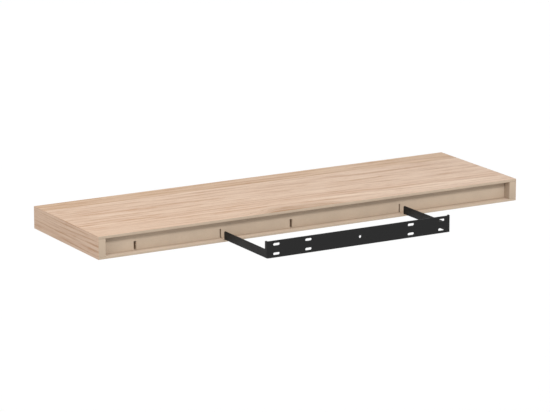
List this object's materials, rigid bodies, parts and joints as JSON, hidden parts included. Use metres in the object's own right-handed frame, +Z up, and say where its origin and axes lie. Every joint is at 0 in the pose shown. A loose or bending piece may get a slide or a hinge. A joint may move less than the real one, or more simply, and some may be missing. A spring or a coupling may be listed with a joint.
{
  "type": "floating wall shelf",
  "caption": "Hollow oak-faced shelf panel that slides onto a bent black steel wall bracket, so that no fixing shows.",
  "frame": {"origin": "middle of the bracket plate's wall face, at the centre of its round hole", "axes": "+Z up, +Y into the wall, so the shelf's front faces -Y; +X to the right for someone facing the wall"},
  "size_m": [0.8, 0.375, 0.038],
  "materials": {
    "oak_decor": "pale oak decor foil, satin, fine straight grain",
    "raw_board": "bare fibreboard, matt",
    "core_paper": "brown paper honeycomb, matt",
    "black_steel": "black powder coat, satin"
  },
  "bodies": {
    "bracket": {"wall_bracket": "black_steel"},
    "panel": {"top_skin": "oak_decor", "bottom_skin": "oak_decor", "front_edge_band": "oak_decor", "left_edge_band": "oak_decor", "right_edge_band": "oak_decor", "left_end_rail": "raw_board", "right_end_rail": "raw_board", "front_rail": "raw_board", "rear_rail": "raw_board", "arm_rib_left": "raw_board", "arm_rib_right": "raw_board", "spare_rib_inner": "raw_board", "spare_rib_outer": "raw_board", "honeycomb_core_1": "core_paper", "honeycomb_core_2": "core_paper", "honeycomb_core_3": "core_paper", "honeycomb_core_4": "core_paper", "honeycomb_core_5": "core_paper"}
  },
  "joints": [
    {"name": "panel_slide", "type": "slide", "parent": "bracket", "child": "panel", "axis": [0, 1, 0], "range_m": [0, 0.14]}
  ]
}
